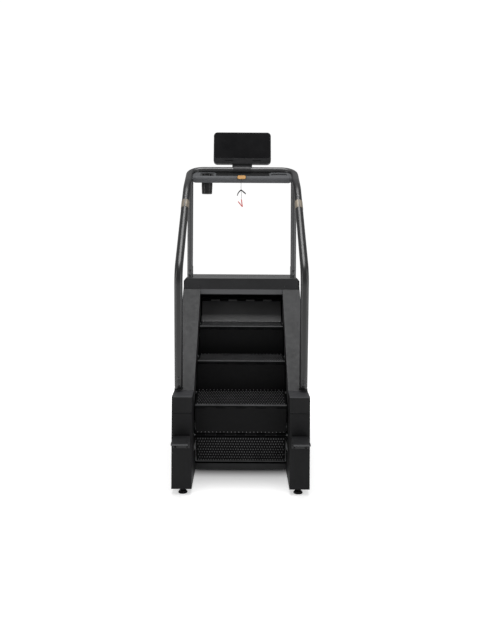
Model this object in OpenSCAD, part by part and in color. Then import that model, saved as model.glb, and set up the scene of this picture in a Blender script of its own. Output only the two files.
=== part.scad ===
// Stair climber with an endless run of hinged steps between two stringers.
// +X is to the right of a person walking up, +Y is the way they face, +Z is up.
// The floor is Z = 0 and the middle of the footprint is X = 0, Y = 0.

/* [Stair] */
// level depth from one nosing to the next
going = 213; // [200:1:240]
// height from one nosing to the next
rise = 190.5; // [170:0.5:210]
// width of one tread
tread_w = 556; // [480:1:600]
// radius of the steel rods that carry the steps
rod_r = 6; // [5:0.5:8]

/* [Body] */
// width over the side panels
body_w = 810; // [760:1:860]
// clear width between the stringers
gap_w = 572; // [500:1:620]
// height of the ledge on top of each front block
ledge_z = 575; // [540:1:610]
// depth of that ledge
ledge_d = 155; // [140:1:170]
// height of the top deck
deck_z = 1210; // [1180:1:1240]
// top of the mounting steps beside the stairs
pedal_z = 346; // [320:1:370]
// how far the mounting steps reach forward
pedal_d = 158; // [140:1:170]

/* [Rails and console] */
// radius of the handrail tube
rail_r = 25; // [20:0.5:28]
// distance of each handrail from the middle
rail_x = 377; // [360:1:385]
// radius of the rear uprights
post_r = 20; // [16:0.5:24]
// width of the screen housing
screen_w = 418; // [380:1:440]
// height of the screen housing
screen_h = 240; // [210:1:260]
// how far the screen leans back, degrees
screen_tilt = 12; // [0:1:25]

/* [Hidden] */
$fn = 64;
// the footprint runs from the pedal lips to the rear cover
rear_y = 1222;
y_mid = (rear_y - pedal_d) / 2;
half_w = body_w / 2;
gap_x = gap_w / 2;
wall = 3;

// ---- the step loop: rods sit on a chain running round two wheels ----
link = 19.05;
teeth = 38;
loop_links = 120;
pitch = sqrt(going * going + rise * rise);
wheel_r = teeth * link / (2 * PI);
run = (loop_links - teeth) / 2 * link;
half_turn = PI * wheel_r;
down = [-going, -rise] / pitch;
inward = [rise, -going] / pitch;
// rod number three and how far above the lower wheel it stands
rod3 = [364.3, 513.5];
rod3_lead = 165;
low_in = rod3 + rod3_lead * down;
low_c = low_in + wheel_r * inward;
up_in = low_in - run * down;
up_c = up_in + wheel_r * inward;
slope = atan(rise / going);

function turn(u) = u / wheel_r * 180 / PI;
function on_loop(u) =
    u < 0 ? up_c + wheel_r * (inward * cos(turn(u + half_turn)) - down * sin(turn(u + half_turn))) :
    u < run ? up_in + u * down :
    u < run + half_turn ? low_c + wheel_r * (down * sin(turn(u - run)) - inward * cos(turn(u - run))) :
    low_c + wheel_r * inward - (u - run - half_turn) * down;
function rod(i) = on_loop(run - rod3_lead + ((i > 7 ? i - 8 : i) - 3) * pitch);
// nosing hinge of step i, one going from its own rod and one rise from the next
function nose(i) =
    let (p = rod(i), q = rod(i + 1), v = q - p, d = norm(v), e = v / d)
    let (m = (going * going - rise * rise + d * d) / (2 * d))
    p + m * e + sqrt(going * going - m * m) * [e[1], -e[0]];
function heading(p, q) = atan2(q[1] - p[1], q[0] - p[0]);

// ---- knuckles along the hinges ----
knuckles = 9;
knuckle_w = tread_w / knuckles;
side_play = 0.5;
rod_play = 0.05;

// ---- layout across each side ----
rod_end_x = 315;
wheel_x = 304;
chain_x = 316;
chain_w = 8;
chain_t = 6;
belt_x = 328;
plate_x = 341;
rail_in_x = 325;
motor_c = [1020, 232];
big_pulley_r = 100;
small_pulley_r = 25;

// ---- stringer line: from the back of the ledge up to the header ----
header_z = 1136;
header_y = ledge_d + (header_z - ledge_z) * going / rise;
line_dir = [going, rise] / pitch;
line_in = [rise, -going] / pitch;
line_0 = [ledge_d, ledge_z];
line_1 = [header_y, header_z];

// ---- handrail path: foot, first bend, second bend, rear bar ----
foot_z = 590;
foot_c = [136, foot_z + 17];
bend1 = [76, 1296];
bend2 = [690, 1838];
bar = [1010, 1982];
bend1_r = 150;
bend2_r = 300;
corner_r = 100;
lean = heading(foot_c, bend1);
grade = heading(bend1, bend2);
top_grade = heading(bend2, bar);
lean_dir = [cos(lean), sin(lean)];
grade_dir = [cos(grade), sin(grade)];
top_dir = [cos(top_grade), sin(top_grade)];
bend1_t = bend1_r * tan((lean - grade) / 2);
foot_bolts = [620, 656];
post_bolts = [1230, 1263];
function rail_y(z) = foot_c[0] + (z - foot_c[1]) * lean_dir[0] / lean_dir[1];
bend2_t = bend2_r * tan((grade - top_grade) / 2);
joint_at = 60;
post_x = 366;
post_y = 870;

// ---- tray between the rails, laid in the plane of the loop ----
tray_x = rail_x - rail_r - 2;
tray_back = -27;
shelf_back = -48;
front_bar = [-166, -8];
front_bar_r = 25;
front_bar_y = bar[0] + front_bar[0] * cos(top_grade) - front_bar[1] * sin(top_grade);
front_bar_z = bar[1] + front_bar[0] * sin(top_grade) + front_bar[1] * cos(top_grade);
cup_x = -251;
cup_r = 39;
cup_bore_r = 34;
cup_y = 915;
cup_z = 1804;

// ---- safety key and its tether ----
key_x = -4;
key_z = 1920;
key_h = 24;
key_face = 834;
tether_y = 826;
tether_r = 1.2;
tether = [for (p = [[-5, 1907], [-5.6, 1896], [-6.6, 1883], [-7.4, 1868],
    [-7.6, 1854], [-7.2, 1842], [-6.8, 1833]])
    [p[0], tether_y, p[1]]];
tether_2 = [for (p = [[-6, 1823], [-4.8, 1811], [-3.8, 1798], [-3.6, 1786], [-4, 1774], [-4.4, 1763]])
    [p[0], tether_y, p[1]]];

// ---- helpers ----
module placed() { translate([0, -y_mid, 0]) children(); }
module both() { children(); mirror([1, 0, 0]) children(); }
module yz(x0, x1) { translate([x0, 0, 0]) rotate([90, 0, 90]) linear_extrude(x1 - x0) children(); }
module bar_x(p, r, x0, x1) { translate([x0, p[0], p[1]]) rotate([0, 90, 0]) cylinder(r = r, h = x1 - x0); }
module block(x0, x1, y0, y1, z0, z1) { translate([x0, y0, z0]) cube([x1 - x0, y1 - y0, z1 - z0]); }
module rounded(w, h, r) {
    translate([-w / 2 + r, 0]) square([w - 2 * r, h]);
    translate([-w / 2, r]) square([w, h - 2 * r]);
    for (x = [-1, 1]) for (y = [r, h - r]) translate([x * (w / 2 - r), y]) circle(r);
}
module in_loop_plane() { translate([0, bar[0], bar[1]]) rotate([top_grade, 0, 0]) children(); }

// ---- one tread, laid from its rod along +Y with its face towards -Z ----
module tread_board() {
    face = [for (k = [0:16]) for (q = [[0, 0], [0, 1], [4, 1], [4, 0]]) [16 + k * 11.5 + q[0], q[1] - 15]];
    difference() {
        union() {
            yz(-tread_w / 2, tread_w / 2) polygon(concat([[6, -7.5], [6, -15]], face,
                [[going + 3, -15], [going + 9, -13.5], [going + 12, -10], [going + 12, -3],
                 [going + 9, -3], [going + 9, -7.5], [going - 14, -7.5], [going - 16, -3],
                 [20, -3], [18, -7.5]]));
            for (u = [60, 140]) yz(-tread_w / 2, tread_w / 2) translate([u, -4]) square([4, 10]);
            for (k = [0:2:knuckles - 1]) {
                x0 = -tread_w / 2 + k * knuckle_w + side_play;
                x1 = x0 + knuckle_w - 2 * side_play;
                bar_x([0, 0], 9, x0, x1);
                yz(x0, x1) polygon([[3, -8], [16, -8], [16, -6], [8, 4], [3, 4]]);
                bar_x([going, 0], 7, x0, x1);
                yz(x0, x1) translate([going - 7, -8]) square([14, 8]);
            }
        }
        bar_x([0, 0], rod_r + rod_play, -tread_w, tread_w);
    }
}
module riser_plate() {
    difference() {
        union() {
            yz(-tread_w / 2, tread_w / 2) translate([13, -5.5]) square([rise - 22.5, 7]);
            for (k = [1:2:knuckles - 1]) {
                x0 = -tread_w / 2 + k * knuckle_w + side_play;
                x1 = x0 + knuckle_w - 2 * side_play;
                bar_x([0, 0], 9, x0, x1);
                yz(x0, x1) translate([6, -1.5]) square([8, 3]);
                bar_x([rise, 0], 7, x0, x1);
                yz(x0, x1) translate([rise - 12, -1.5]) square([8, 3]);
            }
        }
        bar_x([0, 0], rod_r + rod_play, -tread_w, tread_w);
    }
}
module tread(i) {
    translate([0, rod(i)[0], rod(i)[1]]) rotate([heading(rod(i), nose(i)), 0, 0]) tread_board();
}
module riser(i) {
    translate([0, rod(i + 1)[0], rod(i + 1)[1]]) rotate([heading(rod(i + 1), nose(i)), 0, 0]) riser_plate();
}
module step_rod(i) { bar_x(rod(i), rod_r, -rod_end_x, rod_end_x); }

module front_treads() { color("#55575a") placed() for (i = [1, 2]) tread(i); }
module front_risers() { color("#1b1c1e") placed() for (i = [1, 2]) riser(i); }
module front_rods() { color("#8e9093") placed() for (i = [1, 2, 3]) step_rod(i); }
module tread_3() { color("#55575a") placed() tread(3); }
module riser_3() { color("#1b1c1e") placed() riser(3); }
module tread_4() { color("#55575a") placed() tread(4); }
module riser_4() { color("#1b1c1e") placed() riser(4); }
module lower_rod() { color("#8e9093") placed() step_rod(4); }
module return_treads() { color("#55575a") placed() for (i = [5, 6]) tread(i); }
module return_risers() { color("#1b1c1e") placed() for (i = [5, 6]) riser(i); }
module return_rods() { color("#8e9093") placed() for (i = [5, 6, 7]) step_rod(i); }
module tread_7() { color("#55575a") placed() tread(7); }
module riser_7() { color("#1b1c1e") placed() riser(7); }
module tread_0() { color("#55575a") placed() tread(0); }
module riser_0() { color("#1b1c1e") placed() riser(0); }
module upper_rod() { color("#8e9093") placed() step_rod(0); }

// ---- wheels, shafts and drive ----
module wheel_disc() {
    difference() {
        cylinder(r = wheel_r + 2.5, h = 8);
        for (k = [0:teeth - 1]) rotate([0, 0, k * 360 / teeth])
            translate([wheel_r, 0, -1]) cylinder(r = rod_r + 1, h = 10, $fn = 24);
        for (k = [0:4]) rotate([0, 0, k * 72 + 36]) translate([68, 0, -1]) cylinder(r = 22, h = 10);
        translate([0, 0, -1]) cylinder(r = 22, h = 10);
    }
}
module wheel_pair(c, first_rod) {
    lead = heading(c, first_rod);
    both() translate([wheel_x, c[0], c[1]]) rotate([90, 0, 90]) rotate([0, 0, lead]) wheel_disc();
    both() difference() {
        bar_x(c, wheel_r - 6.5, chain_x + 1, chain_x + 7);
        bar_x(c, wheel_r - 22, chain_x, chain_x + 8);
    }
    both() difference() {
        bar_x(c, 30, 290, 324);
        bar_x(c, 15, 289, 325);
    }
    both() for (k = [0:2]) translate([0, c[0], c[1]]) rotate([k * 120 + 20, 0, 0])
        block(chain_x - 4, chain_x + 7, 28, wheel_r - 14, -6, 6);
}
module lower_wheels() { color("#6b6d70") placed() wheel_pair(low_c, rod(4)); }
module upper_wheels() { color("#6b6d70") placed() wheel_pair(up_c, rod(0)); }
module lower_shaft() { color("#8e9093") placed() bar_x(low_c, 15, -366, 366); }
module upper_shaft() { color("#8e9093") placed() bar_x(up_c, 15, -366, 366); }

module bearings() {
    color("#3f4245") placed() for (c = [low_c, up_c]) both() difference() {
        union() {
            bar_x(c, 32, plate_x + 5, plate_x + 20);
            translate([plate_x + 5, c[0] - 45, c[1] - 45]) cube([8, 90, 90]);
        }
        bar_x(c, 15.05, plate_x, plate_x + 30);
    }
}

// half of a chain loop: the wrap round one wheel and the straight run that leaves it
module chain_wrap(c, from) {
    translate([chain_x, c[0], c[1]]) rotate([90, 0, 90]) rotate([0, 0, from]) rotate_extrude(angle = 180)
        translate([wheel_r - chain_t, 0]) square([2 * chain_t, chain_w]);
}
module step_chains() {
    color("#2b2c2e") placed() both() {
        chain_wrap(low_c, slope + 90);
        chain_wrap(up_c, slope - 90);
        for (s = [-1, 1]) translate([0, low_c[0], low_c[1]]) rotate([slope, 0, 0])
            translate([chain_x, 0.2, s * wheel_r - chain_t]) cube([chain_w, run - 0.4, 2 * chain_t]);
    }
}
module chain_guides() {
    color("#c9c9c4") placed() both() for (s = [-1, 1]) {
        translate([0, low_c[0], low_c[1]]) rotate([slope, 0, 0]) {
            block(chain_x, chain_x + chain_w, 60, run - 60,
                s > 0 ? wheel_r - chain_t - 14 : -wheel_r + chain_t,
                s > 0 ? wheel_r - chain_t : -wheel_r + chain_t + 14);
            for (u = [120, run / 2, run - 120]) block(chain_x + 4, plate_x, u, u + 20,
                s > 0 ? wheel_r - chain_t - 14 : -wheel_r + chain_t + 2,
                s > 0 ? wheel_r - chain_t - 2 : -wheel_r + chain_t + 14);
        }
    }
}

module drive_pulley() {
    color("#4a4c4f") placed() difference() {
        union() {
            bar_x(up_c, big_pulley_r, belt_x, belt_x + 10);
            bar_x(up_c, 26, belt_x - 2, belt_x + 11);
        }
        bar_x(up_c, 15, belt_x - 5, belt_x + 20);
        for (k = [0:4]) translate([0, up_c[0], up_c[1]]) rotate([k * 72, 0, 0])
            translate([belt_x - 1, 60, 0]) rotate([0, 90, 0]) cylinder(r = 18, h = 12);
    }
}
module belt_outline(extra) {
    a = up_c;
    v = motor_c - a;
    d = norm(v);
    lean = heading(a, motor_c);
    open_a = acos((big_pulley_r - small_pulley_r) / d);
    ra = big_pulley_r + extra;
    rb = small_pulley_r + extra;
    translate(a) circle(ra);
    translate(motor_c) circle(rb);
    polygon([for (s = [1, -1]) a + ra * [cos(lean + s * open_a), sin(lean + s * open_a)],
        for (s = [-1, 1]) motor_c + rb * [cos(lean + s * open_a), sin(lean + s * open_a)]]);
}
module drive_belt() {
    color("#151515") placed() yz(belt_x + 1, belt_x + 9) difference() {
        belt_outline(3.3);
        belt_outline(0.3);
    }
}
module generator() {
    color("#5a5d61") placed() difference() {
        union() {
            bar_x(motor_c, 76, 205, 300);
            bar_x(motor_c, 34, 196, 310);
            block(215, 290, motor_c[0] - 45, motor_c[0] + 45, 90, 190);
        }
        bar_x(motor_c, 8.05, 250, 330);
    }
}
module generator_pulley() {
    color("#8e9093") placed() {
        bar_x(motor_c, small_pulley_r, belt_x, belt_x + 10);
        bar_x(motor_c, 8, 251, belt_x + 1);
    }
}
module control_box() {
    color("#3a3d40") placed() {
        block(-150, 50, 1112, 1180, 90, 250);
        for (x = [-130, 10]) block(x, x + 20, 1106, 1112, 100, 240);
    }
}
module power_inlet() {
    color("#1a1a1a") placed() difference() {
        union() {
            block(215, 275, rear_y - 4, rear_y, 120, 160);
            block(221, 269, rear_y - 30, rear_y - 3, 125, 155);
        }
        block(231, 259, rear_y - 20, rear_y + 1, 130, 150);
    }
}

// ---- welded frame: square tubes and plates, each weld shown as a 0.2 mm seam ----
module frame() {
    weld = 0.2;
    color("#2c2d2f") placed() {
        both() difference() {
            block(rail_in_x, 385, 15, rear_y - 17, 40, 90);
            for (y = [45, 1165]) translate([340, y, 30]) cylinder(r = 6.05, h = 70);
        }
        both() block(346, 386, 169 + weld, 209, 90 + weld, 560);
        both() difference() {
            block(355, 399, 161, 169, 470, 676);
            for (z = foot_bolts) translate([rail_x, 140, z]) rotate([-90, 0, 0]) cylinder(r = 4, h = 40);
        }
        for (y = [960, 1160]) both() block(346, 386, y, y + 40, 90 + weld, 1165 - weld);
        both() block(346, 386, header_y + 20.4, 1200, 1165, 1206);
        both() difference() {
            block(346, 384.6, post_y + post_r, post_y + post_r + 8, 1206 + weld, 1292);
            for (z = post_bolts) translate([post_x, post_y, z]) rotate([-90, 0, 0]) cylinder(r = 4, h = 60);
        }
        both() yz(346, 386)
            polygon([[209 + weld, 500], [960 - weld, 1120], [960 - weld, 1160], [209 + weld, 540]]);
        for (p = [[low_c, 225, 410, 90 + weld, 460],
            [up_c, header_y + 20.4, 958, 640, 1165 - weld]]) both() difference() {
            block(plate_x, plate_x + 4.8, p[1], p[2], p[3], p[4]);
            bar_x(p[0], 18, 330, 350);
        }
        block(-rail_in_x + weld, rail_in_x - weld, 322, 362, 40, 78);
        for (y = [1000, 1165]) block(-rail_in_x + weld, rail_in_x - weld, y, y + 40, 40, 90);
        block(-346 + weld, 346 - weld, 1160, 1200, 1140, 1206);
        both() block(385 + weld, 402 - weld, 600, 640, 50, 80);
        both() block(386 + weld, 402 - weld, 1165, 1195, 900, 940);
        both() block(386 + weld, 402 - weld, 965, 995, 600, 640);
        both() block(386 + weld, 401 - weld, 175, 205, 380, 400);
    }
}

// ---- covers ----
module block_shrouds() {
    color("#33353a") placed() both() {
        block(gap_x, half_w, 0, 4, 35, 477.5);
        block(half_w - 4, half_w, 4, 158, 35, 477.5);
        yz(gap_x, gap_x + 4) polygon([[4, 35], [321.7, 35], [321.7, 78.3], [330, 78.3],
            [330, 165], [180, 190], [180, 477.5], [4, 477.5]]);
        block(gap_x, half_w, 4, 40, 471, 477.5);
    }
}
module block_caps() {
    color("#3a3c41") placed() both() difference() {
        union() {
            block(gap_x, half_w, 0, 4, 479, ledge_z - 4);
            block(gap_x, half_w, 0, ledge_d, ledge_z - 4, ledge_z);
            block(half_w - 4, half_w, 4, ledge_d, 479, ledge_z - 4);
            block(gap_x, gap_x + 4, 4, ledge_d, 479, ledge_z - 4);
            block(gap_x, half_w, 4, 30, 479, 483);
            yz(gap_x, half_w) polygon([[0, 479], [-1.5, 480], [-1.5, 483], [0, 484.5]]);
        }
        yz(gap_x - 1, half_w + 1) polygon([[-1, ledge_z - 4], [-1, ledge_z + 1], [4, ledge_z + 1]]);
    }
}
module stringer_covers() {
    color("#4b4d52") placed() both() difference() {
        union() {
            yz(gap_x, half_w - wall) polygon([line_0, line_1, line_1 + 4 * line_in, line_0 + 4 * line_in]);
            yz(gap_x, gap_x + wall) polygon([line_0, line_1, line_1 + 135 * line_in,
                line_0 + 135 * line_in + 60 * line_dir, [184, 440], [184, 560], [ledge_d, ledge_z - 5]]);
        }
        block(354, 400, 160, 170, 470, 640);
        block(gap_x - 1, half_w, 100, ledge_d + 0.3, 400, 600);
        block(gap_x - 1, half_w, header_y - 0.3, 900, 900, 1200);
    }
}
module side_panels() {
    color("#2f3135") placed() both() difference() {
        union() {
            yz(half_w - wall, half_w) polygon([[158.3, 42], [rear_y - 4, 42], [rear_y - 4, deck_z - 18],
                [header_y + 20, deck_z - 18], [header_y + 20, header_z + 20 * rise / going + 0.3],
                [158.3, ledge_z + 3.3 * rise / going]]);
            translate([0, rear_y - 4.2, 0]) rotate([90, 0, 0]) linear_extrude(rear_y - header_y - 24.4)
                polygon([[half_w - 3, deck_z - 18.2], [half_w, deck_z - 18.2], [half_w - 14, deck_z],
                    [half_w - 19.8, deck_z], [half_w - 19.8, deck_z - 3]]);
        }
        translate([0, 520, 120]) for (k = [0:5])
            block(half_w - 10, half_w + 10, k * 40, k * 40 + 22, 0, 60);
    }
}
module header() {
    color("#46484c") placed() {
        translate([0, header_y + 20, header_z]) rotate([90, 0, 0]) linear_extrude(20) difference() {
            polygon([[-400, 0], [400, 0], [394, 60], [391, 69], [385, deck_z - header_z],
                [-385, deck_z - header_z], [-391, 69], [-394, 60]]);
            for (x = [-378, -300, 300, 378]) translate([x, 16]) circle(3.2);
        }
        yz(-gap_x + 0.5, gap_x - 0.5) polygon([[header_y + 20, header_z], [header_y + 1, header_z],
            [header_y - 17, header_z - 32], [header_y - 14, header_z - 36],
            [header_y + 20, header_z - 36]]);
    }
}
module deck() {
    color("#8d8f92") placed() difference() {
        block(-385, 385, header_y + 20, 1200, deck_z - 4, deck_z);
        both() block(345, 387, post_y + post_r - 1, post_y + post_r + 9, 1190, 1220);
    }
}
module rear_cover() {
    color("#2f3135") placed() difference() {
        union() {
            translate([0, rear_y, 0]) rotate([90, 0, 0]) linear_extrude(4)
                polygon([[-half_w, 42], [half_w, 42], [half_w, deck_z - 18], [half_w - 14, deck_z],
                    [14 - half_w, deck_z], [-half_w, deck_z - 18]]);
            block(20.2 - half_w, half_w - 20.2, 1200.2, rear_y - 3, deck_z - 4, deck_z);
        }
        block(214.7, 275.3, 1190, rear_y + 1, 119.7, 160.3);
        for (k = [0:7]) for (s = [-1, 1]) block(s * 150 - 90, s * 150 + 90, rear_y - 10, rear_y + 2,
            640 + k * 30, 650 + k * 30);
    }
}
module side_steps() {
    color("#3c3e42") placed() both() {
        block(297, 394, -pedal_d, 0, pedal_z - 5, pedal_z);
        yz(297, 394) polygon([[-pedal_d, pedal_z - 5], [-pedal_d, pedal_z - 9], [-pedal_d + 4, pedal_z - 9],
            [-pedal_d + 6, pedal_z - 5]]);
        block(297, 394, -6, 0, pedal_z - 70, pedal_z - 5);
        for (x = [308, 378]) yz(x, x + 5) polygon([[-6, pedal_z - 70], [-6, pedal_z - 5],
            [-pedal_d + 18, pedal_z - 5], [-pedal_d + 18, pedal_z - 26]]);
    }
}

// ---- rails ----
module yz_bend(x, c, r, from, sweep) {
    translate([x, c[0], c[1]]) rotate([90, 0, 90]) rotate([0, 0, from])
        rotate_extrude(angle = sweep) translate([r, 0]) circle(rail_r);
}
// short full-width disc where two lengths of the bent tube meet
module tube_join(x, p, ang) {
    translate([x, p[0], p[1]]) rotate([ang - 90, 0, 0])
        translate([0, 0, -1]) cylinder(r = rail_r + 0.1, h = 2);
}
module tube_yz(x, p, ang, len) {
    translate([x, p[0], p[1]]) rotate([ang - 90, 0, 0]) cylinder(r = rail_r, h = len);
}
bend1_start = bend1 - bend1_t * lean_dir;
bend1_c = bend1_start + bend1_r * [sin(lean), -cos(lean)];
bend1_end = bend1 + bend1_t * grade_dir;
bend2_start = bend2 - bend2_t * grade_dir;
bend2_end = bend2 + bend2_t * top_dir;
bend2_c = bend2_start + bend2_r * [sin(grade), -cos(grade)];
module handrails() {
    color("#3f4145") placed() both() difference() {
        union() {
            translate([rail_x, foot_c[0], foot_c[1]]) rotate([lean - 90, 0, 0]) rotate_extrude()
                polygon([[0, -17], [13, -17], [19, -14.5], [23, -9],
                    [rail_r + 0.1, 0], [rail_r + 0.1, 2], [0, 2]]);
            tube_yz(rail_x, foot_c, lean, norm(bend1_start - foot_c));
            yz_bend(rail_x, bend1_c, bend1_r, 90 + grade, lean - grade);
            tube_yz(rail_x, bend1_end, grade, norm(bend2_start - bend1_end));
            yz_bend(rail_x, bend2_c, bend2_r, 90 + top_grade, grade - top_grade);
            tube_yz(rail_x, bend2_end, top_grade, joint_at);
            tube_join(rail_x, bend1_start, lean);
            tube_join(rail_x, bend1_end, grade);
            tube_join(rail_x, bend2_start, grade);
            tube_join(rail_x, bend2_end, top_grade);
        }
        for (z = foot_bolts) translate([rail_x, rail_y(z), z]) {
            rotate([-90, 0, 0]) cylinder(r = 4, h = 40);
            rotate([90, 0, 0]) cylinder(r = 4, h = 40);
            translate([0, -rail_r + 3, 0]) rotate([90, 0, 0]) cylinder(r = 9.5, h = 20);
        }
        in_rail(600) translate([0, 0, rail_r - 8]) cylinder(r = 7.3, h = 20);
    }
}
// a frame on the sloping part of the rail, at depth y, with +Z square to the tube
module in_rail(y) {
    translate([rail_x, y, bend1_end[1] + (y - bend1_end[0]) * tan(grade)]) rotate([grade, 0, 0]) children();
}
module loop_side(extra, len) {
    tube_r = rail_r + extra;
    p = bend2_end + joint_at * top_dir;
    translate([rail_x, p[0], p[1]]) rotate([top_grade - 90, 0, 0]) cylinder(r = tube_r, h = len);
}
module console_loop() {
    side = norm(bar - bend2_end) - joint_at - corner_r;
    color("#3f4145") placed() {
        both() loop_side(0, side);
        both() translate([rail_x - corner_r, 0, 0]) in_loop_plane() translate([0, -corner_r, 0])
            rotate_extrude(angle = 90) translate([corner_r, 0]) circle(rail_r);
        bar_x(bar, rail_r, -rail_x + corner_r, rail_x - corner_r);
        both() tube_join(rail_x, bar - corner_r * top_dir, top_grade);
        both() bar_x(bar, rail_r + 0.1, rail_x - corner_r - 1, rail_x - corner_r + 1);
    }
}
module uprights() {
    color("#3c3e42") placed() both() difference() {
        translate([post_x, post_y, deck_z]) cylinder(r = post_r, h = 700);
        loop_side(0, 400);
        in_loop_plane() block(300, 500, -250, 150, 8, 308);
        for (z = post_bolts) translate([post_x, post_y, z]) {
            translate([0, -40, 0]) rotate([-90, 0, 0]) cylinder(r = 4, h = 80);
            translate([0, -post_r + 3, 0]) rotate([90, 0, 0]) cylinder(r = 9, h = 20);
        }
    }
}
module rail_plates() {
    color("#b9a98e") placed() both() difference() {
        in_rail(546) translate([0, -37, 0]) rotate([-90, 0, 0]) cylinder(r = rail_r + 1.5, h = 74);
        in_rail(546) translate([0, -100, 0]) rotate([-90, 0, 0]) cylinder(r = rail_r, h = 200);
        in_rail(546) block(-3.5, 3.5, -100, 100, -60, 60);
    }
}
module rail_button() {
    in_rail(600) {
        translate([0, 0, rail_r - 5]) cylinder(r = 7, h = 6.5);
        translate([0, 0, rail_r + 1.5]) cylinder(r = 5, h = 1);
    }
}
module button_right() { color("#9a9b9d") placed() rail_button(); }
module button_left() { color("#9a9b9d") placed() mirror([1, 0, 0]) rail_button(); }

// ---- tray, cup, key ----
module tray_outline(back) {
    r = corner_r - rail_r - 2;
    translate([-tray_x, front_bar[0]]) square([2 * tray_x, -corner_r - front_bar[0]]);
    intersection() {
        union() {
            translate([-rail_x + corner_r, -corner_r])
                square([2 * (rail_x - corner_r), corner_r + tray_back]);
            for (s = [-1, 1]) translate([s * (rail_x - corner_r), -corner_r]) circle(r);
        }
        translate([-tray_x, -200]) square([2 * tray_x, 200 + back]);
    }
}
module tray() {
    color("#606266") placed() difference() {
        union() {
            in_loop_plane() translate([0, 0, -16]) linear_extrude(6) tray_outline(tray_back);
            in_loop_plane() translate([0, 0, -11]) linear_extrude(13) difference() {
                tray_outline(shelf_back);
                polygon([[-188, -135], [196, -135], [208, shelf_back + 1], [-200, shelf_back + 1]]);
            }
            in_loop_plane() {
                bar_x(front_bar, front_bar_r, -tray_x + 20, tray_x - 20);
                for (s = [-1, 1]) translate([s * (tray_x - 20.1), front_bar[0], front_bar[1]])
                    rotate([0, s * 90, 0]) cylinder(r1 = front_bar_r, r2 = front_bar_r - 6, h = 21);
                both() block(tray_x - 2, tray_x + 2, -150, -110, -8, -2);
                for (x = [-200, 200]) block(x - 10, x + 10, tray_back - 2, 1 - rail_r, -15, -11);
            }
        }
        in_loop_plane() translate([0, 0, -6]) linear_extrude(20)
            translate([265, -95]) rounded_plate(112, 52, 16);
        in_loop_plane() block(cup_x - 50, cup_x + 50, -141, -57, -3, 10);
        translate([cup_x, cup_y, 1700]) cylinder(r = cup_r + 0.6, h = 400);
        both() loop_side(0.3, 400);
        bar_x(bar, rail_r + 6.3, -64.3, 64.3);
        both() translate([post_x, post_y, deck_z]) cylinder(r = post_r + 0.3, h = 800);
    }
}
module rounded_plate(w, d, r) { translate([0, -d / 2]) rounded(w, d, r); }
module cup_holder() {
    color("#232427") placed() difference() {
        union() {
            difference() {
                translate([cup_x, cup_y, cup_z]) rotate_extrude()
                    polygon([[0, 0], [cup_r - 7, 0], [cup_r - 4, 1.5],
                    [cup_r - 2.6, 5], [cup_r, 60], [cup_r, 200], [0, 200]]);
                in_loop_plane() translate([-400, -300, -2.8]) cube([400, 400, 300]);
            }
            intersection() {
                translate([cup_x, cup_y, cup_z]) cylinder(r = cup_r + 9, h = 300);
                in_loop_plane() block(cup_x - 49.7, cup_x + 49.7, -140.7, -57.3, -2.8, 0.2);
            }
        }
        translate([cup_x, cup_y, cup_z + 5]) cylinder(r = cup_bore_r, h = 400);
    }
}
module key_base() {
    color("#1f2022") placed() difference() {
        translate([key_x, key_face + 25, key_z - 14]) rotate([90, 0, 0])
            linear_extrude(25) rounded(64, 28, 8);
        in_loop_plane() bar_x(front_bar, front_bar_r, -60, 60);
        in_loop_plane() block(-60, 60, front_bar[0], 0, -16.3, 40);
        translate([key_x, key_face - 1, key_z]) rotate([-90, 0, 0]) cylinder(r = 5.3, h = 4);
    }
}
module stop_key() {
    color("#d8622a") placed() {
        translate([key_x, key_face - 0.3, key_z - key_h / 2]) rotate([90, 0, 0]) linear_extrude(12)
            rounded(58, key_h, 10);
        translate([key_x, key_face - 1, key_z]) rotate([-90, 0, 0]) cylinder(r = 5, h = 3.7);
        translate([tether[0][0], tether_y, key_z - key_h / 2 - 1]) cylinder(r = 3, h = 4);
    }
}

// a soft cord swept along a list of points
module cord(points, r) {
    sides = 8;
    n = len(points);
    along = [for (i = [0:n - 1]) points[min(i + 1, n - 1)] - points[max(i - 1, 0)]];
    rings = [for (i = [0:n - 1]) let (t = along[i] / norm(along[i]), a = cross(t, [1, 0, 0]),
        u = a / norm(a), v = cross(t, u)) for (k = [0:sides - 1])
            points[i] + r * (cos(k * 45) * u + sin(k * 45) * v)];
    polyhedron(rings, concat([[for (k = [0:sides - 1]) k]], [[for (k = [0:sides - 1]) n * sides - 1 - k]],
        [for (i = [0:n - 2]) for (k = [0:sides - 1])
            [i * sides + k, (i + 1) * sides + k,
                (i + 1) * sides + (k + 1) % sides, i * sides + (k + 1) % sides]]));
}
module tether_cord() {
    color("#1c1c1e") placed() {
        cord(tether, tether_r);
        cord(tether_2, tether_r);
    }
}
module tether_clip() {
    color("#161617") placed() translate([0, tether_y + 3, 0]) rotate([90, 0, 0]) linear_extrude(6) {
        polygon([[-36, 1790], [-32, 1806], [-23, 1821], [-10, 1833], [-3, 1833], [28, 1807], [24, 1799],
            [-4, 1823], [-9, 1823], [-19, 1814], [-27, 1802], [-31, 1789]]);
    }
}
module tether_tag() {
    color("#8c1f1c") placed() translate([0, tether_y + 1.5, 0]) rotate([90, 0, 0]) linear_extrude(3)
        polygon([[-8, 1763], [-1, 1763], [4, 1728], [6, 1712], [0, 1710],
            [-30, 1747], [-25, 1751], [-2, 1724]]);
}

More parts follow.
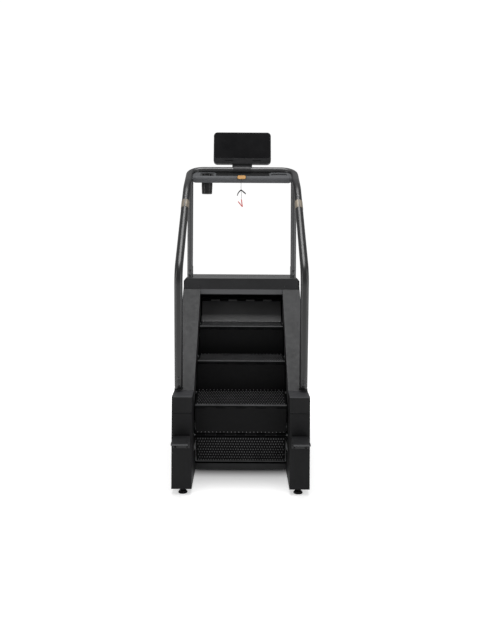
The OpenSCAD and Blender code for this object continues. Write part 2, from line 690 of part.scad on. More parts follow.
// ---- screen ----
screen_y = 996;
screen_z = 2030;
module on_screen() { translate([0, screen_y, screen_z]) rotate([-screen_tilt, 0, 0]) children(); }
module screen_housing() {
    color("#2a2b2e") placed() on_screen() difference() {
        union() {
            translate([0, 32, 0]) rotate([90, 0, 0]) linear_extrude(32) rounded(screen_w, screen_h, 28);
            translate([0, 50, 30]) rotate([90, 0, 0]) linear_extrude(18) rounded(300, 180, 20);
        }
        translate([0, 3, 42]) rotate([90, 0, 0])
            linear_extrude(8) rounded(screen_w - 12, screen_h - 48, 22);
        for (x = [-96, 104]) translate([x, 4, 15]) rotate([90, 0, 0]) linear_extrude(8) rounded(62, 13, 5);
    }
}
module screen_glass() {
    color("#08090b") placed() on_screen() translate([0, 3, 42.3]) rotate([90, 0, 0])
        linear_extrude(3) rounded(screen_w - 12.6, screen_h - 48.6, 21.7);
}
module screen_neck() {
    color("#4b4d50") placed() difference() {
        union() {
            bar_x(bar, rail_r + 6, -64, 64);
            on_screen() block(-72, 72, 12, 58, -36, -0.3);
            on_screen() block(-72, 72, 32.3, 58, -2, 29.7);
            on_screen() block(-60, 60, 50, 58, 25, 150);
        }
        bar_x(bar, rail_r, -100, 100);
    }
}

// ---- feet and fasteners ----
module foot_at(x, y) {
    translate([x, y, 0]) {
        cylinder(r = 27, h = 6);
        translate([0, 0, 6]) cylinder(r = 22, h = 6);
        cylinder(r = 6, h = 92);
        translate([0, 0, 30]) cylinder(r = 9.5, h = 8, $fn = 6);
    }
}
module foot_front_left() { color("#1c1c1d") placed() foot_at(-340, 45); }
module foot_front_right() { color("#1c1c1d") placed() foot_at(340, 45); }
module foot_rear_left() { color("#1c1c1d") placed() foot_at(-340, 1165); }
module foot_rear_right() { color("#1c1c1d") placed() foot_at(340, 1165); }
module bolt_y(x, y, z, r, len) {
    translate([x, y, z]) rotate([-90, 0, 0]) cylinder(r = 4, h = len);
    translate([x, y, z]) rotate([90, 0, 0]) difference() {
        union() {
            cylinder(r = r, h = 2.5);
            translate([0, 0, 2.5]) cylinder(r1 = r, r2 = r - 3, h = 2.5);
        }
        translate([0, 0, 2]) cylinder(r = 3.4, h = 5, $fn = 6);
    }
}
module rail_bolts() {
    color("#77797c") placed() both() {
        for (z = foot_bolts) bolt_y(rail_x, rail_y(z) - rail_r + 3, z, 9, 56);
        for (z = post_bolts) bolt_y(post_x, post_y - post_r + 3, z, 8.5, 52);
    }
}
module cover_screws() {
    color("#c4c6c8") placed() both() {
        for (x = [300, 378]) {
            translate([x, header_y, header_z + 16]) rotate([-90, 0, 0]) cylinder(r = 3, h = 18);
            translate([x, header_y, header_z + 16]) rotate([90, 0, 0]) cylinder(r = 5.5, h = 2);
        }
    }
}

frame();
chain_guides();
bearings();
lower_shaft();
lower_wheels();
lower_rod();
upper_shaft();
upper_wheels();
upper_rod();
drive_pulley();
drive_belt();
generator();
generator_pulley();
control_box();
power_inlet();
step_chains();
front_treads();
front_risers();
front_rods();
tread_3();
riser_3();
tread_4();
riser_4();
return_treads();
return_risers();
return_rods();
tread_7();
riser_7();
tread_0();
riser_0();
block_shrouds();
block_caps();
stringer_covers();
side_panels();
header();
deck();
rear_cover();
side_steps();
handrails();
console_loop();
uprights();
rail_plates();
button_left();
button_right();
tray();
cup_holder();
key_base();
stop_key();
tether_cord();
tether_clip();
tether_tag();
screen_housing();
screen_glass();
screen_neck();
foot_front_left();
foot_front_right();
foot_rear_left();
foot_rear_right();
rail_bolts();
cover_screws();
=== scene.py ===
import math
import bmesh
import bpy
from mathutils import Matrix, Vector


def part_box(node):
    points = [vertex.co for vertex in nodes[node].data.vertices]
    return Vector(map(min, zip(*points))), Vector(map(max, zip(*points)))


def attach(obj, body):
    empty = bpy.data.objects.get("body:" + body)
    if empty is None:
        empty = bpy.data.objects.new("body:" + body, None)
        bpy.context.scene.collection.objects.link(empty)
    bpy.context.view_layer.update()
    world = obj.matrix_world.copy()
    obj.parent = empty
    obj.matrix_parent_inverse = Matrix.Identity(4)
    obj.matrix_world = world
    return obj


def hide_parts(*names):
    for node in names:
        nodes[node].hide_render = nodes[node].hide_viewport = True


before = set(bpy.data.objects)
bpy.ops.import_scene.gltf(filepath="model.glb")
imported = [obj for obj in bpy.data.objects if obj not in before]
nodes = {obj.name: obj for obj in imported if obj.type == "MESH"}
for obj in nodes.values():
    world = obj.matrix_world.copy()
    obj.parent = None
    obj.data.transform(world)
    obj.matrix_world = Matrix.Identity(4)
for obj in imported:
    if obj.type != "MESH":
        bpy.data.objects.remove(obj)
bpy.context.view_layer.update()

# ---- Camera ----
# Stands four and a half metres in front of the machine's middle at shoulder
# height. It looks level, with a very small roll.
camera_back = 4.594
camera_height = 1.564
camera_roll = -0.31
camera_data = bpy.data.cameras.new("studio_camera")
camera_data.sensor_fit = "VERTICAL"
camera_data.sensor_height = 36
camera_data.lens = 40.02
camera_data.shift_x = -0.0006
camera_data.shift_y = -0.1355
studio_camera = bpy.data.objects.new("studio_camera", camera_data)
studio_camera.location = (0, -camera_back, camera_height)
studio_camera.rotation_euler = (math.radians(90), math.radians(camera_roll), 0)
bpy.context.scene.collection.objects.link(studio_camera)
bpy.context.scene.camera = studio_camera

# ---- Safety tether ----
# Thin braided cord from the safety key down to a plastic clothes clip,
# and a second short length from the clip down to a woven red tag.
# Depths are measured back from the front blocks, and moved to the middle.
front_to_middle = 0.532
tether_depth = 0.826 - front_to_middle
tether_width = 0.0024
braid_black = (0.02, 0.02, 0.022)
upper_run = [(x / 1000, tether_depth, z / 1000) for x, z in (
    (-5, 1907), (-5.6, 1896), (-6.6, 1883), (-7.4, 1868), (-7.6, 1854), (-7.2, 1842), (-6.8, 1833))]
lower_run = [(x / 1000, tether_depth, z / 1000) for x, z in (
    (-6, 1823), (-4.8, 1811), (-3.8, 1798), (-3.6, 1786), (-4, 1774), (-4.4, 1763))]


def smooth_run(points, parts):
    ends = [Vector(points[0])] + [Vector(p) for p in points] + [Vector(points[-1])]
    run = []
    for a, b, c, d in zip(ends, ends[1:], ends[2:], ends[3:]):
        for k in range(parts):
            t = k / parts
            run.append(((2 * b) + (c - a) * t + (2 * a - 5 * b + 4 * c - d) * t ** 2
                        + (3 * b - a - 3 * c + d) * t ** 3) / 2)
    run.append(Vector(points[-1]))
    return run


def tether_line(name, run):
    line = bpy.data.curves.new(name, "CURVE")
    line.dimensions = "3D"
    line.bevel_depth = tether_width / 2
    line.bevel_resolution = 4
    spline = line.splines.new("POLY")
    spline.points.add(len(run) - 1)
    for place, point in zip(spline.points, run):
        place.co = (point.x, point.y, point.z, 1)
    piece = bpy.data.objects.new(name, line)
    bpy.context.scene.collection.objects.link(piece)
    return piece


def new_finish(name):
    finish = bpy.data.materials.new(name)
    finish.use_nodes = True
    tree = finish.node_tree
    place = tree.nodes.new("ShaderNodeTexCoord")
    return finish, tree, tree.nodes["Principled BSDF"], place


def noise(tree, place, size, detail=4.0, rough=0.55, stretch=(1, 1, 1)):
    mapping = tree.nodes.new("ShaderNodeMapping")
    mapping.inputs["Scale"].default_value = stretch
    tree.links.new(place.outputs["Object"], mapping.inputs["Vector"])
    texture = tree.nodes.new("ShaderNodeTexNoise")
    texture.inputs["Scale"].default_value = size
    texture.inputs["Detail"].default_value = detail
    texture.inputs["Roughness"].default_value = rough
    tree.links.new(mapping.outputs["Vector"], texture.inputs["Vector"])
    return texture.outputs["Fac"]


def spread(tree, value, low, high, from_low=0.3, from_high=0.7):
    reach = tree.nodes.new("ShaderNodeMapRange")
    reach.inputs["From Min"].default_value = from_low
    reach.inputs["From Max"].default_value = from_high
    reach.inputs["To Min"].default_value = low
    reach.inputs["To Max"].default_value = high
    tree.links.new(value, reach.inputs["Value"])
    return reach.outputs["Result"]


def two_tones(tree, value, dark, light):
    tones = tree.nodes.new("ShaderNodeMix")
    tones.data_type = "RGBA"
    tones.inputs["A"].default_value = (*dark, 1)
    tones.inputs["B"].default_value = (*light, 1)
    tree.links.new(value, tones.inputs["Factor"])
    return tones.outputs["Result"]


def relief(tree, shader, height, strength, depth, edge=0.0):
    bump = tree.nodes.new("ShaderNodeBump")
    bump.inputs["Strength"].default_value = strength
    bump.inputs["Distance"].default_value = depth
    tree.links.new(height, bump.inputs["Height"])
    if edge:
        rounding = tree.nodes.new("ShaderNodeBevel")
        rounding.samples = 6
        rounding.inputs["Radius"].default_value = edge
        tree.links.new(rounding.outputs["Normal"], bump.inputs["Normal"])
    tree.links.new(bump.outputs["Normal"], shader.inputs["Normal"])


def times(colour, factor):
    return tuple(min(1.0, c * factor) for c in colour)


def braid(name, colour, strands=2400):
    finish, tree, shader, place = new_finish(name)
    weave = noise(tree, place, strands, detail=2)
    tree.links.new(two_tones(tree, spread(tree, weave, 0, 1), times(colour, 0.6), times(colour, 1.8)),
                   shader.inputs["Base Color"])
    tree.links.new(spread(tree, weave, low=0.7, high=0.95), shader.inputs["Roughness"])
    relief(tree, shader, weave, strength=0.6, depth=0.0003)
    return finish


cord_black = braid("tether_braid", braid_black)
for name, points, follower in (("tether_upper", upper_run, "tether_clip"),
                               ("tether_lower", lower_run, "tether_tag")):
    run = smooth_run(points, 4)
    line = tether_line(name, run)
    line.data.materials.append(cord_black)
    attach(line, "stop_key")
    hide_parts("tether_cord")


# ---- Welded frame ----
# Square steel tube and plate, welded and powder coated black. It carries the
# shafts, the rails and the covers, and its front cross tube shows near the floor.
frame_black = (0.012, 0.0122, 0.013)


def zone(tree, place, axis, low, high):
    parts = tree.nodes.new("ShaderNodeSeparateXYZ")
    tree.links.new(place.outputs["Object"], parts.inputs["Vector"])
    return spread(tree, parts.outputs[axis], 0, 1, low, high)


# A strip is an axis, where the coat starts to turn paler along it, where it is
# palest, and how many times paler it is there.
def powder_coat(name, colour, rough, gloss=0.35, grain=900, grain_depth=0.00008, edge=0.0015,
                wear=0.25, strips=(), uneven=1.0):
    finish, tree, shader, place = new_finish(name)
    speck = noise(tree, place, size=650, detail=2)
    cloud = noise(tree, place, size=5, detail=5)
    mixed = tree.nodes.new("ShaderNodeMath")
    mixed.operation = "MULTIPLY_ADD"
    mixed.inputs[1].default_value = 0.35
    tree.links.new(speck, mixed.inputs[0])
    tree.links.new(cloud, mixed.inputs[2])
    coat = two_tones(tree, spread(tree, mixed.outputs[0], 0, 1, from_low=0.45, from_high=0.9),
                     times(colour, 1 - wear), times(colour, 1 + wear))
    for axis, starts, palest, lift in strips:
        paler = tree.nodes.new("ShaderNodeMix")
        paler.data_type = "RGBA"
        paler.inputs["B"].default_value = (*times(colour, lift), 1)
        tree.links.new(coat, paler.inputs["A"])
        tree.links.new(zone(tree, place, axis, starts, palest), paler.inputs["Factor"])
        coat = paler.outputs["Result"]
    tree.links.new(coat, shader.inputs["Base Color"])
    tree.links.new(spread(tree, noise(tree, place, size=38, detail=6),
                          low=rough - 0.07 * uneven, high=rough + 0.08 * uneven),
                   shader.inputs["Roughness"])
    shader.inputs["Specular IOR Level"].default_value = gloss
    relief(tree, shader, noise(tree, place, grain, detail=3), strength=0.5, depth=grain_depth, edge=edge)
    return finish


def dress(finish, *names):
    for name in names:
        for holder in nodes[name].material_slots:
            holder.material = finish


dress(powder_coat("frame_powder_coat", frame_black, rough=0.5, gloss=0.25), "frame")


# ---- Shafts, wheels and drive ----
# Ground steel shafts and rods, cast wheels and pulleys with turned rims, roller
# chains, a rubber belt and a painted generator: all hidden behind the covers.
shaft_steel = (0.16, 0.162, 0.165)
oiled_steel = (0.06, 0.058, 0.056)
cast_iron = (0.020, 0.020, 0.021)
belt_black = (0.012, 0.012, 0.012)
guide_black = (0.008, 0.008, 0.008)
generator_grey = (0.13, 0.135, 0.14)
control_box_black = (0.03, 0.03, 0.033)
turning_marks = (1, 40, 40)


def ground_steel(name, colour, rough=0.32):
    finish, tree, shader, place = new_finish(name)
    shader.inputs["Metallic"].default_value = 1.0
    turned = noise(tree, place, size=60, detail=6, rough=0.6, stretch=turning_marks)
    tree.links.new(two_tones(tree, spread(tree, turned, 0, 1), times(colour, 0.75), times(colour, 1.2)),
                   shader.inputs["Base Color"])
    tree.links.new(spread(tree, turned, low=rough - 0.08, high=rough + 0.14),
                   shader.inputs["Roughness"])
    relief(tree, shader, turned, strength=0.25, depth=0.00006, edge=0.0006)
    return finish


def moulded(name, colour, rough=0.55, gloss=0.3, grain=1500, grain_depth=0.00006, edge=0.001):
    finish, tree, shader, place = new_finish(name)
    cloud = noise(tree, place, size=7, detail=4)
    tree.links.new(two_tones(tree, spread(tree, cloud, 0, 1), times(colour, 0.82), times(colour, 1.2)),
                   shader.inputs["Base Color"])
    tree.links.new(spread(tree, noise(tree, place, size=55, detail=5),
                          low=rough - 0.06, high=rough + 0.07), shader.inputs["Roughness"])
    shader.inputs["Specular IOR Level"].default_value = gloss
    relief(tree, shader, noise(tree, place, grain, detail=2), strength=0.5, depth=grain_depth, edge=edge)
    return finish


dress(ground_steel("ground_shaft_steel", shaft_steel), "lower_shaft", "upper_shaft", "lower_rod",
      "upper_rod", "front_rods", "return_rods", "generator_pulley")
dress(ground_steel("oiled_chain_steel", oiled_steel, rough=0.4), "step_chains")
dress(powder_coat("cast_wheel_iron", cast_iron, rough=0.55, gloss=0.3, grain=300, grain_depth=0.0003),
      "lower_wheels", "upper_wheels", "drive_pulley", "bearings")
dress(moulded("ribbed_belt_rubber", belt_black, rough=0.75), "drive_belt")
dress(moulded("guide_strip_plastic", guide_black, rough=0.5), "chain_guides")
dress(powder_coat("generator_paint", generator_grey, rough=0.42), "generator")
dress(moulded("control_box_plastic", control_box_black), "control_box", "power_inlet")


# ---- Treads ----
# Dark anodised aluminium boards. Each has staggered rows of pressed studs and a
# nosing strip, both coloured paler than the board as a painted highlight, and is
# hinged to the riser below and the rod behind.
step_depth = 0.213
tread_width = 0.556
tread_face = 0.015
stud_radius = 0.0040
stud_height = 0.0018
stud_lift = 0.0009
stud_sink = 0.0008
stud_length = 1.5
stud_pitch = 0.0155
stud_side_margin = 0.01
first_stud_row = 0.018
stud_row_pitch = 0.023
stud_rows_per_tread = 9
nosing_end_gap = 0.001
tread_black = (0.0036, 0.0037, 0.004)
# Painted highlight: the stud and nosing colours are paler to stand in for the light they catch.
stud_highlight_grey = (0.055, 0.0557, 0.0575)
nosing_highlight_grey = (0.040, 0.0404, 0.042)
# Where each step's rod and nosing hinge stand at rest, in millimetres: back from
# the front blocks, then up from the floor.
rods = [(1013.1, 862.0), (790.3, 894.5), (577.3, 704.0), (364.3, 513.5),
        (205.4, 293.9), (428.1, 261.5), (641.1, 452.0), (854.1, 642.5)]
noses = [(905.8, 1046.0), (577.3, 894.5), (364.3, 704.0), (154.4, 477.5),
         (312.7, 109.9), (641.1, 261.5), (854.1, 452.0), (1064.0, 678.0)]
tread_body = ["tread_0", "stairs", "stairs", "tread_3", "tread_4", "return_steps", "return_steps", "tread_7"]
riser_body = ["riser_0", "stairs", "stairs", "riser_3", "riser_4", "return_steps", "return_steps", "riser_7"]


def textured_metal(name, colour, rough, gloss, metallic=0.0):
    finish, tree, shader, place = new_finish(name)
    cloud = noise(tree, place, size=12, detail=5)
    scuff = noise(tree, place, size=90, detail=6, rough=0.7, stretch=(0.35, 1, 1))
    mixed = tree.nodes.new("ShaderNodeMath")
    mixed.operation = "MULTIPLY_ADD"
    mixed.inputs[1].default_value = 0.5
    tree.links.new(scuff, mixed.inputs[0])
    tree.links.new(cloud, mixed.inputs[2])
    tree.links.new(two_tones(tree, spread(tree, mixed.outputs[0], 0, 1, from_low=0.5, from_high=1.0),
                             times(colour, 0.7), times(colour, 1.4)), shader.inputs["Base Color"])
    tree.links.new(spread(tree, scuff, low=rough - 0.08, high=rough + 0.12), shader.inputs["Roughness"])
    shader.inputs["Specular IOR Level"].default_value = gloss
    shader.inputs["Metallic"].default_value = metallic
    relief(tree, shader, noise(tree, place, size=900, detail=3), strength=0.5, depth=0.0001, edge=0.0012)
    return finish


# A board's own axes: X across the step, Y from its first hinge to its second,
# and Z square to both, down from a tread and forward from a riser.
def hinge_frame(start, end):
    along = Vector((0, end[0] - start[0], end[1] - start[1])).normalized()
    out = Vector((0, -along.z, along.y))
    side = Vector((1, 0, 0))
    origin = Vector((0, start[0] / 1000 - front_to_middle, start[1] / 1000))
    turn = Matrix((side, along, out)).transposed().to_4x4()
    return Matrix.Translation(origin) @ turn


def mesh_piece(name, builder, place, finish, body):
    shape = bmesh.new()
    builder(shape)
    bmesh.ops.transform(shape, matrix=place, verts=shape.verts)
    bmesh.ops.recalc_face_normals(shape, faces=shape.faces)
    mesh = bpy.data.meshes.new(name)
    shape.to_mesh(mesh)
    shape.free()
    mesh.materials.append(finish)
    piece = bpy.data.objects.new(name, mesh)
    bpy.context.scene.collection.objects.link(piece)
    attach(piece, body)
    return piece


def dome(shape, centre, radius, height, up, sink=0.0004, long=1.0, sides=8):
    up = Vector(up)
    side = Vector((1, 0, 0))
    other = up.cross(side)
    rings = []
    for reach, rise in ((1, -sink), (1, height * 0.25), (0.8, height * 0.75), (0.4, height)):
        rings.append([shape.verts.new(Vector(centre) + up * rise + radius * reach
                                      * (side * math.cos(k * math.tau / sides)
                                         + other * long * math.sin(k * math.tau / sides)))
                      for k in range(sides)])
    for low, high in zip(rings, rings[1:]):
        for k in range(sides):
            face = shape.faces.new((low[k], low[(k + 1) % sides], high[(k + 1) % sides], high[k]))
            face.smooth = True
    shape.faces.new(rings[-1])
    shape.faces.new(list(reversed(rings[0])))


def stud_rows(shape):
    across = int((tread_width - 2 * stud_side_margin) / stud_pitch)
    for row in range(stud_rows_per_tread):
        for k in range(across + 1 - row % 2):
            x = (k - (across - row % 2) / 2) * stud_pitch
            y = first_stud_row + row * stud_row_pitch
            dome(shape, (x, y, -tread_face - stud_lift), stud_radius, stud_height, (0, 0, -1),
                 stud_sink, stud_length)


def profile_bar(shape, outline, x0, x1):
    ends = [[shape.verts.new((x, u, w)) for u, w in outline] for x in (x0, x1)]
    for k in range(len(outline)):
        n = (k + 1) % len(outline)
        shape.faces.new((ends[0][k], ends[0][n], ends[1][n], ends[1][k]))
    shape.faces.new(ends[1])
    shape.faces.new(list(reversed(ends[0])))


def nosing_strip(shape):
    seat = [(-0.002, -0.0151), (0.003, -0.0151), (0.0090, -0.0136), (0.0113, -0.0110)]
    proud = [(-0.002, -0.0157), (0.003, -0.0159), (0.0097, -0.0143), (0.0120, -0.0114)]
    outline = [(step_depth + u, w) for u, w in seat + proud[::-1]]
    profile_bar(shape, outline, -tread_width / 2 + nosing_end_gap, tread_width / 2 - nosing_end_gap)


tread_anodised = textured_metal("tread_anodised", tread_black, rough=0.66, gloss=0.05)
# Painted highlight: the stud and nosing finishes are paler than the board's.
stud_highlight_finish = textured_metal("tread_stud_painted_highlight", stud_highlight_grey, rough=0.38, gloss=0.4, metallic=0.1)
nosing_highlight_finish = textured_metal("tread_nosing_worn", nosing_highlight_grey, rough=0.45, gloss=0.3, metallic=0.2)
dress(tread_anodised, "front_treads", "tread_3", "tread_4", "return_treads", "tread_7", "tread_0")
for step in range(8):
    board = hinge_frame(rods[step], noses[step])
    mesh_piece("tread_studs_%d" % step, stud_rows, board, stud_highlight_finish, tread_body[step])
    mesh_piece("tread_nosing_%d" % step, nosing_strip, board, nosing_highlight_finish, tread_body[step])

# ---- Risers ----
# Smooth black moulded plates with knuckles along both long edges, riveted to
# their lower knuckles with a row of small steel rivets.
riser_face = 0.0015
rivet_pitch = 0.023
rivet_line = 0.0185
rivet_radius = 0.0026
rivet_height = 0.0014
riser_black = (0.0026, 0.0026, 0.0029)
# Painted light: the top riser is the same plastic as the others, coloured paler because it tilts up into
# more light.
upper_riser_lit_grey = (0.048, 0.048, 0.049)
rivet_grey = (0.28, 0.28, 0.285)


def rivet_row(shape):
    count = int(tread_width / rivet_pitch)
    for k in range(count):
        x = (k - (count - 1) / 2) * rivet_pitch
        dome(shape, (x, rivet_line, riser_face), rivet_radius, rivet_height, (0, 0, 1))


rivet_steel = ground_steel("rivet_steel", rivet_grey, rough=0.35)
dress(moulded("riser_plastic", riser_black, rough=0.5, gloss=0.09), "front_risers", "riser_3",
      "riser_4", "return_risers", "riser_7")
# Painted light: the top riser gets a paler copy of the riser plastic.
dress(moulded("upper_riser_painted_light", upper_riser_lit_grey, rough=0.45, gloss=0.3), "riser_0")
for step in range(8):
    mesh_piece("riser_rivets_%d" % step, rivet_row, hinge_frame(rods[(step + 1) % 8], noses[step]),
               rivet_steel, riser_body[step])

# ---- Covers ----
# Folded sheet steel in fine-grained graphite powder coat, with moulded blocks
# at the front corners, and the header that closes the stringers at the top.
stringer_grey = (0.0275, 0.0279, 0.029)
panel_black = (0.018, 0.0183, 0.0195)
pedal_black = (0.0165, 0.0168, 0.0178)
header_black = (0.0175, 0.0177, 0.0187)
block_black = (0.0066, 0.0067, 0.0072)
cap_black = (0.0068, 0.0069, 0.0074)
sheet_grain = {"grain": 1100, "grain_depth": 0.0001}
block_grain = {"grain": 1300, "grain_depth": 0.0001}
pedal_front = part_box("side_steps")[0][1]
# Painted highlight: a band along the pedals' front edge is coloured paler.
pedal_edge_highlight = ("Y", pedal_front + 0.005, pedal_front + 0.002, 3.2)
# Painted light: the header below its lip line is coloured paler, for the top light it catches.
header_lip_light = ("Z", 1.1358, 1.1352, 3.0)
cap_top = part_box("block_caps")[1][2]
# Painted light: the top band of the block caps, the ledge, is coloured paler, for the top light it faces.
cap_ledge_light = ("Z", cap_top - 0.0055, cap_top - 0.0035, 6.0)
dress(powder_coat("stringer_powder_coat", stringer_grey, rough=0.5, gloss=0.24, **sheet_grain),
      "stringer_covers")
dress(powder_coat("panel_powder_coat", panel_black, rough=0.48, gloss=0.25, wear=0.1, **sheet_grain),
      "side_panels", "rear_cover")
dress(powder_coat("pedal_powder_coat", pedal_black, rough=0.42, gloss=0.3, edge=0.002, wear=0.3,
                  strips=[pedal_edge_highlight], **sheet_grain), "side_steps")
dress(powder_coat("header_powder_coat", header_black, rough=0.46, gloss=0.2, strips=[header_lip_light],
                  **sheet_grain), "header")
dress(moulded("front_block_plastic", block_black, rough=0.5, gloss=0.14, edge=0.0015, **block_grain),
      "block_shrouds")
dress(powder_coat("block_cap_plastic", cap_black, rough=0.48, gloss=0.16, wear=0.2, strips=[cap_ledge_light],
                  **block_grain), "block_caps")


# ---- Top deck ----
# Flat silver-grey aluminium plate that closes the top of the machine, between
# the header and the rear cover. Rows of small dots are punched into it for grip;
# the dots are coloured dark as painted shade in their hollows.
deck_grey = (0.10, 0.101, 0.104)
dot_spacing = 0.014
dot_threshold = 1.2


def punched_plate(name, colour, spacing, threshold):
    finish, tree, shader, place = new_finish(name)
    parts = tree.nodes.new("ShaderNodeSeparateXYZ")
    tree.links.new(place.outputs["Object"], parts.inputs["Vector"])

    def ripple(axis):
        wave = tree.nodes.new("ShaderNodeMath")
        wave.operation = "MULTIPLY"
        wave.inputs[1].default_value = 2 * math.pi / spacing
        tree.links.new(parts.outputs[axis], wave.inputs[0])
        curve = tree.nodes.new("ShaderNodeMath")
        curve.operation = "COSINE"
        tree.links.new(wave.outputs[0], curve.inputs[0])
        return curve.outputs[0]

    total = tree.nodes.new("ShaderNodeMath")
    total.operation = "ADD"
    tree.links.new(ripple("X"), total.inputs[0])
    tree.links.new(ripple("Y"), total.inputs[1])
    dots = spread(tree, total.outputs[0], 0, 1, from_low=threshold, from_high=threshold + 0.25)
    # Painted shade: the dots are coloured much darker than the plate.
    tree.links.new(two_tones(tree, dots, colour, times(colour, 0.12)), shader.inputs["Base Color"])
    shader.inputs["Metallic"].default_value = 0.3
    tree.links.new(spread(tree, noise(tree, place, size=60, detail=5), low=0.35, high=0.5),
                   shader.inputs["Roughness"])
    relief(tree, shader, dots, strength=0.7, depth=-0.0008, edge=0.0008)
    return finish


dress(punched_plate("deck_punched_aluminium", deck_grey, dot_spacing, dot_threshold), "deck")

# ---- Rails ----
# Bent steel tube in dark metallic powder coat; the loop joins both rails behind
# the tray, and two straight uprights stand on the deck.
rail_black = (0.010, 0.0102, 0.0107)
# Painted light: the uprights have the rails' coat, coloured paler for the light they catch.
upright_lit_grey = (0.042, 0.0426, 0.044)
loop_black = (0.022, 0.0224, 0.0233)
tube_coat = {"grain": 60, "grain_depth": 0.00002, "edge": 0, "wear": 0.1, "uneven": 0.2}
dress(powder_coat("rail_powder_coat", rail_black, rough=0.33, gloss=0.45, **tube_coat), "handrails")
dress(powder_coat("upright_painted_light_coat", upright_lit_grey, rough=0.3, gloss=0.5, **tube_coat), "uprights")
dress(powder_coat("loop_powder_coat", loop_black, rough=0.3, gloss=0.45, **tube_coat), "console_loop")

# ---- Contact plates and rail buttons ----
# Brushed metal pulse plates wrapped round each handrail, and above them one
# round moulded button on each rail, which presses into the tube.
pulse_plate_tan = (0.18, 0.155, 0.122)
button_grey = (0.10, 0.101, 0.104)
dress(textured_metal("pulse_plate_metal", pulse_plate_tan, rough=0.45, gloss=0.4, metallic=0.35),
      "rail_plates")
dress(moulded("rail_button_plastic", button_grey, rough=0.4, gloss=0.4), "button_left", "button_right")

# ---- Tray, cup holder and key ----
# Moulded tray between the rails with a front bar, a cup insert that drops in on
# the left, and the orange safety key on its magnet in the middle.
tray_black = (0.0075, 0.0077, 0.0081)
cup_black = (0.005, 0.005, 0.0055)
key_orange = (0.58, 0.33, 0.13)
key_base_black = (0.012, 0.012, 0.012)
tag_red = (0.42, 0.05, 0.045)
# Painted light: the side shelves and the front bar are coloured far paler than the pocket, for the top light
# they catch.
tray_shelf_left_light = ("X", -0.187, -0.189, 9.0)
tray_shelf_right_light = ("X", 0.195, 0.197, 9.0)
tray_front_bar_light = ("Y", 0.357, 0.352, 10.0)
dress(powder_coat("tray_plastic", tray_black, rough=0.58, gloss=0.1, grain=1500, grain_depth=0.00006,
                  edge=0.001, wear=0.2, strips=[tray_shelf_left_light, tray_shelf_right_light, tray_front_bar_light]), "tray")
dress(moulded("cup_plastic", cup_black, rough=0.35, gloss=0.3), "cup_holder")
dress(moulded("safety_key_plastic", key_orange, rough=0.4, gloss=0.3), "stop_key")
dress(moulded("key_base_plastic", key_base_black, rough=0.45), "key_base", "tether_clip")
dress(braid("tag_webbing", tag_red, strands=1600), "tether_tag")

# ---- Screen ----
# Black glass set in a moulded plastic housing. It stands on a flat neck of
# folded steel, powder coated like the covers.
housing_black = (0.010, 0.0102, 0.011)
neck_black = (0.019, 0.0192, 0.0205)
glass_black = (0.0045, 0.0045, 0.005)
glass_smear = (0.0085, 0.0085, 0.009)
dress(moulded("screen_housing_plastic", housing_black, rough=0.4, gloss=0.18), "screen_housing")
dress(powder_coat("neck_powder_coat", neck_black, rough=0.46, gloss=0.25, **sheet_grain), "screen_neck")


def smeared_glass(name, clean, smeared):
    finish, tree, shader, place = new_finish(name)
    smear = noise(tree, place, size=9, detail=4)
    tree.links.new(two_tones(tree, spread(tree, smear, 0, 1), clean, smeared), shader.inputs["Base Color"])
    tree.links.new(spread(tree, smear, low=0.08, high=0.16), shader.inputs["Roughness"])
    shader.inputs["Specular IOR Level"].default_value = 0.1
    relief(tree, shader, noise(tree, place, size=3, detail=2), strength=0.05, depth=0.0004, edge=0.0008)
    return finish


dress(smeared_glass("screen_black_glass", glass_black, glass_smear), "screen_glass")

# ---- Feet and fasteners ----
# Four levelling feet with rubber soles, which screw into the frame from below.
# Black plated bolts hold the rails and uprights, and screws hold the header.
foot_black = (0.008, 0.008, 0.008)
bolt_grey = (0.06, 0.06, 0.062)
screw_grey = (0.05, 0.05, 0.052)
dress(moulded("foot_rubber", foot_black, rough=0.7, gloss=0.2), "foot_front_left", "foot_front_right",
      "foot_rear_left", "foot_rear_right")
dress(ground_steel("black_plated_bolts", bolt_grey, rough=0.25), "rail_bolts")
dress(ground_steel("black_plated_screws", screw_grey, rough=0.35), "cover_screws")

# ---- Studio floor ----
# A plain white matt floor with a soft glow of its own, so that it stays white far
# out. The glow is less near the machine, and there is none beneath it.
floor_half = 40
floor_white = (0.88, 0.88, 0.88, 1)
white = (1, 1, 1, 1)
machine_side = (0.37, 0.42)
machine_front = (-0.10, -0.25)
machine_rear = (0.66, 0.72)
floor_mesh = bpy.data.meshes.new("studio_floor")
floor_mesh.from_pydata([(-floor_half, -floor_half, 0), (floor_half, -floor_half, 0),
                        (floor_half, floor_half, 0), (-floor_half, floor_half, 0)], [], [(0, 1, 2, 3)])
studio_floor = bpy.data.objects.new("studio_floor", floor_mesh)
bpy.context.scene.collection.objects.link(studio_floor)
floor_paint, floor_tree, floor_shader, floor_place = new_finish("floor_white")
floor_shader.inputs["Base Color"].default_value = floor_white
floor_shader.inputs["Roughness"].default_value = 0.9
floor_shader.inputs["Specular IOR Level"].default_value = 0.1
floor_shader.inputs["Emission Color"].default_value = white
floor_reach = floor_tree.nodes.new("ShaderNodeVectorMath")
floor_reach.operation = "LENGTH"
floor_tree.links.new(floor_place.outputs["Object"], floor_reach.inputs[0])
floor_glow = spread(floor_tree, floor_reach.outputs["Value"], low=0.5, high=0.7, from_low=0.7, from_high=2.4)
floor_parts = floor_tree.nodes.new("ShaderNodeSeparateXYZ")
floor_tree.links.new(floor_place.outputs["Object"], floor_parts.inputs["Vector"])
half_width = floor_tree.nodes.new("ShaderNodeMath")
half_width.operation = "ABSOLUTE"
floor_tree.links.new(floor_parts.outputs["X"], half_width.inputs[0])
open_floor = spread(floor_tree, half_width.outputs[0], 0, 1, *machine_side)
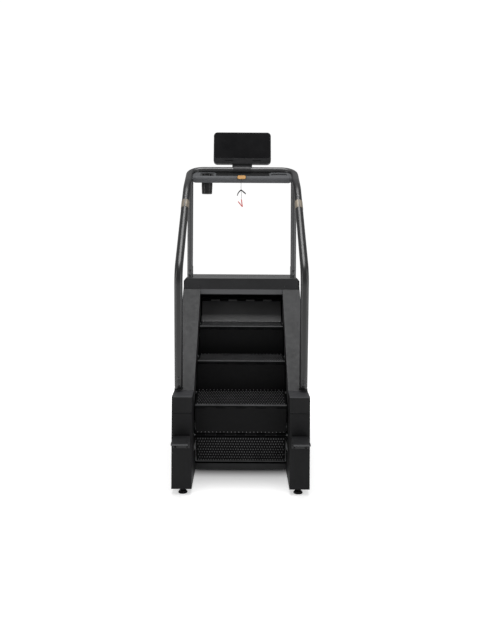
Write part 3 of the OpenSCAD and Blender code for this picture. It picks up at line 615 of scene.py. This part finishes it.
for bounds in (machine_front, machine_rear):
    beyond = spread(floor_tree, floor_parts.outputs["Y"], 0, 1, *bounds)
    wider = floor_tree.nodes.new("ShaderNodeMath")
    wider.operation = "MAXIMUM"
    floor_tree.links.new(open_floor, wider.inputs[0])
    floor_tree.links.new(beyond, wider.inputs[1])
    open_floor = wider.outputs[0]
glow_here = floor_tree.nodes.new("ShaderNodeMath")
glow_here.operation = "MULTIPLY"
floor_tree.links.new(floor_glow, glow_here.inputs[0])
floor_tree.links.new(open_floor, glow_here.inputs[1])
floor_tree.links.new(glow_here.outputs[0], floor_shader.inputs["Emission Strength"])
floor_mesh.materials.append(floor_paint)

# ---- Studio light ----
# An even white surround, which is brighter to look at than it is as a light, a
# large soft box overhead and one tall soft box on each side.
backdrop_strength = 1.02
room_strength = 0.36
surround = bpy.data.worlds.new("studio_surround")
surround.use_nodes = True
surround_tree = surround.node_tree
backdrop_white = surround_tree.nodes["Background"]
backdrop_white.inputs["Color"].default_value = white
backdrop_white.inputs["Strength"].default_value = backdrop_strength
room_grey = surround_tree.nodes.new("ShaderNodeBackground")
room_grey.inputs["Color"].default_value = white
room_grey.inputs["Strength"].default_value = room_strength
seen_or_cast = surround_tree.nodes.new("ShaderNodeLightPath")
surround_mix = surround_tree.nodes.new("ShaderNodeMixShader")
surround_tree.links.new(seen_or_cast.outputs["Is Camera Ray"], surround_mix.inputs["Fac"])
surround_tree.links.new(room_grey.outputs[0], surround_mix.inputs[1])
surround_tree.links.new(backdrop_white.outputs[0], surround_mix.inputs[2])
surround_tree.links.new(surround_mix.outputs[0], surround_tree.nodes["World Output"].inputs["Surface"])
bpy.context.scene.world = surround
bpy.context.scene.view_settings.view_transform = "Standard"
top_size, top_watts = (2.4, 2.4), 150
side_size, side_watts = (0.9, 2.6), 24
side_aim = (0, -0.2, 1.2)
for name, place, aim, size, watts in (
        ("soft_box_top", (0, -0.4, 5.0), (0, 0, 0.8), top_size, top_watts),
        ("soft_box_left", (-2.8, -1.2, 1.6), side_aim, side_size, side_watts),
        ("soft_box_right", (2.8, -1.2, 1.6), side_aim, side_size, side_watts)):
    lamp = bpy.data.lights.new(name, "AREA")
    lamp.shape = "RECTANGLE"
    lamp.size, lamp.size_y = size
    lamp.energy = watts
    box = bpy.data.objects.new(name, lamp)
    box.location = place
    box.rotation_euler = (Vector(aim) - Vector(place)).to_track_quat("-Z", "Y").to_euler()
    box.visible_camera = False
    bpy.context.scene.collection.objects.link(box)
